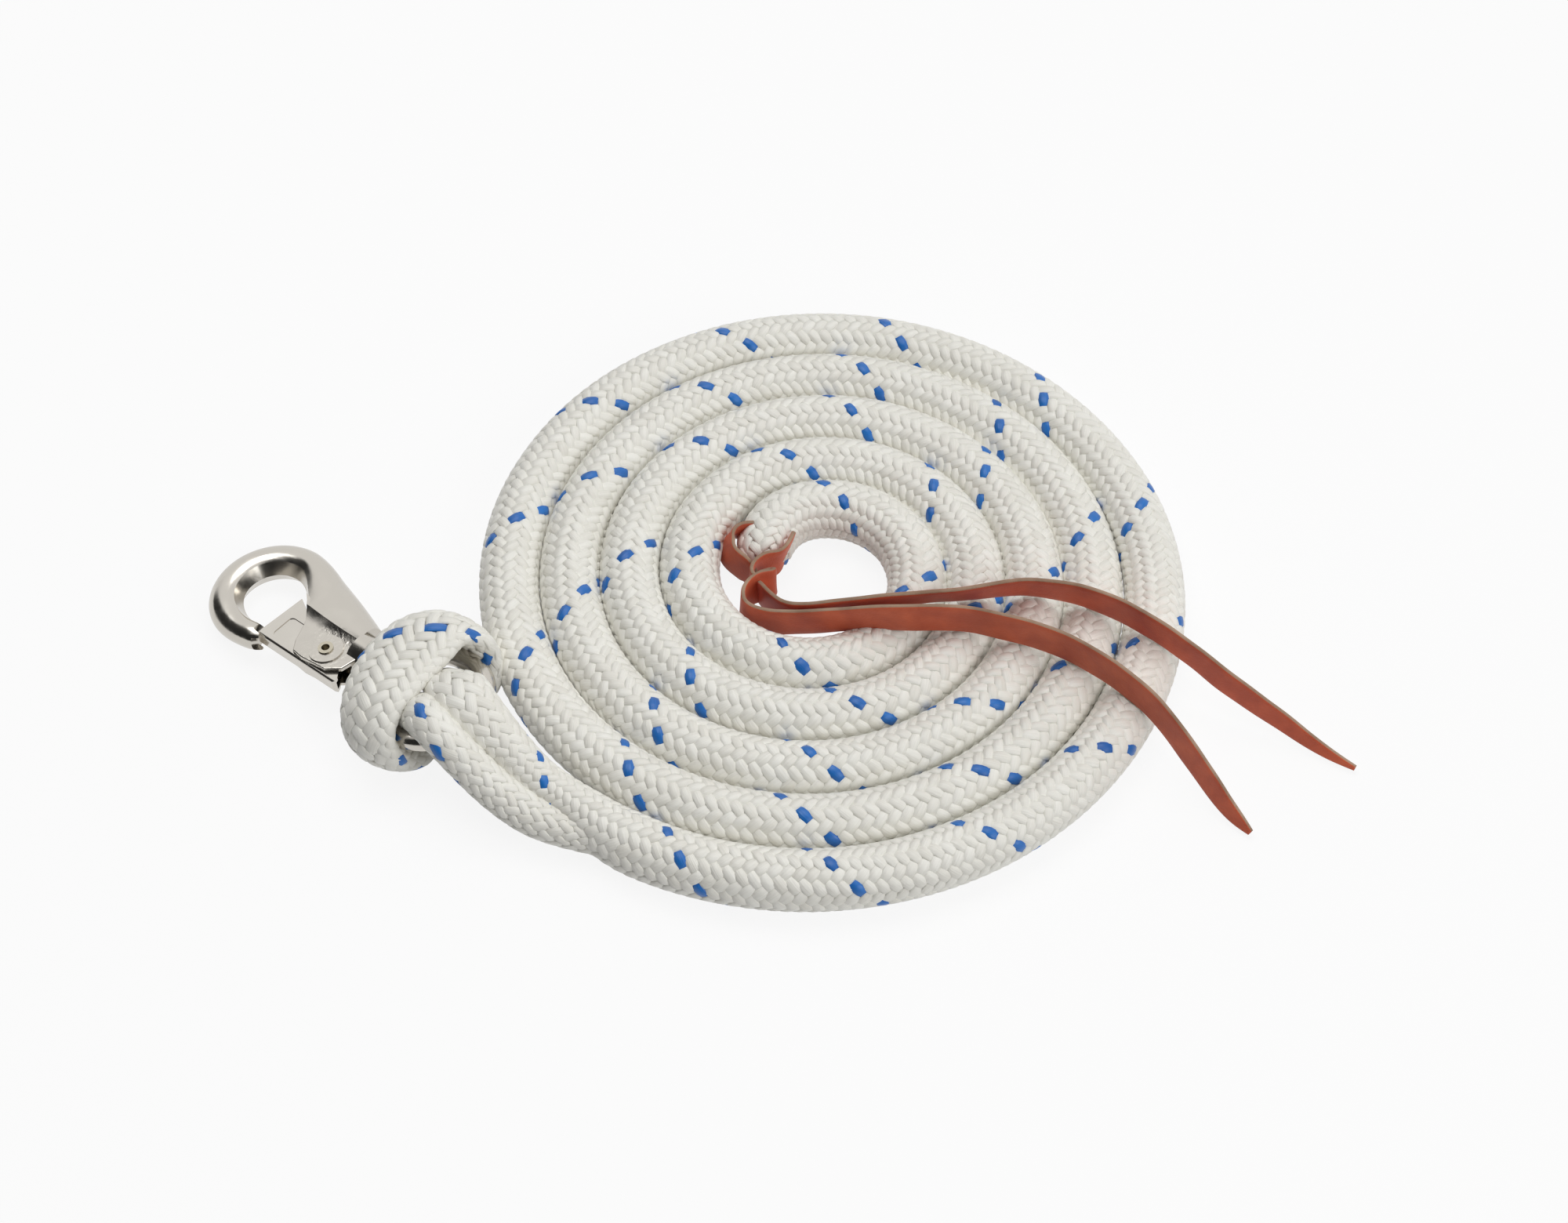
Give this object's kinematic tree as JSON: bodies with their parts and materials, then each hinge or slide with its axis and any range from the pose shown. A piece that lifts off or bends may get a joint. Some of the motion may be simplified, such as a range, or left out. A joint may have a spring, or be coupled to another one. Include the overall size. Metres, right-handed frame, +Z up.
{
  "type": "lead rope",
  "caption": "Braided horse lead rope wound flat in a spiral, with a swivel bull snap girth-hitched to its eye and a leather popper at the other end.",
  "frame": {"origin": "bottom centre of the bounding box: the floor that the coil lies on, below the middle of the whole lay", "axes": "+Z up; +X from the snap toward the popper's tails; -Y is the side that the front tail trails to"},
  "size_m": [0.3645, 0.2356, 0.0377],
  "materials": {
    "rope_white": "satin braid",
    "nickel": "satin nickel plate",
    "spring_steel": "drawn wire",
    "leather": "waxed, cut edges"
  },
  "bodies": {
    "rope": {"rope_coil": "rope_white", "rope_far_leg": "rope_white", "rope_bight": "rope_white", "rope_near_leg": "rope_white", "popper_strap": "leather", "swivel_eye": "nickel"},
    "snap": {"snap_body": "nickel", "gate_rivet": "nickel", "gate_spring": "spring_steel"},
    "gate": {"gate_lever": "nickel"}
  },
  "joints": [
    {"name": "swivel_spin", "type": "hinge", "parent": "rope", "child": "snap", "pos_m": [-0.12387, -0.0339, 0.01501], "axis": [0.7451, -0.6523, 0.1392], "continuous": true},
    {"name": "gate_hinge", "type": "hinge", "parent": "snap", "child": "gate", "pos_m": [-0.14115, -0.02913, 0.01274], "axis": [0.1047, -0.0917, -0.9903], "range_deg": [0, 26], "stiffness_Nm_per_rad": 0.12, "springref_deg": -20.05, "deforming": ["gate_spring"]}
  ]
}
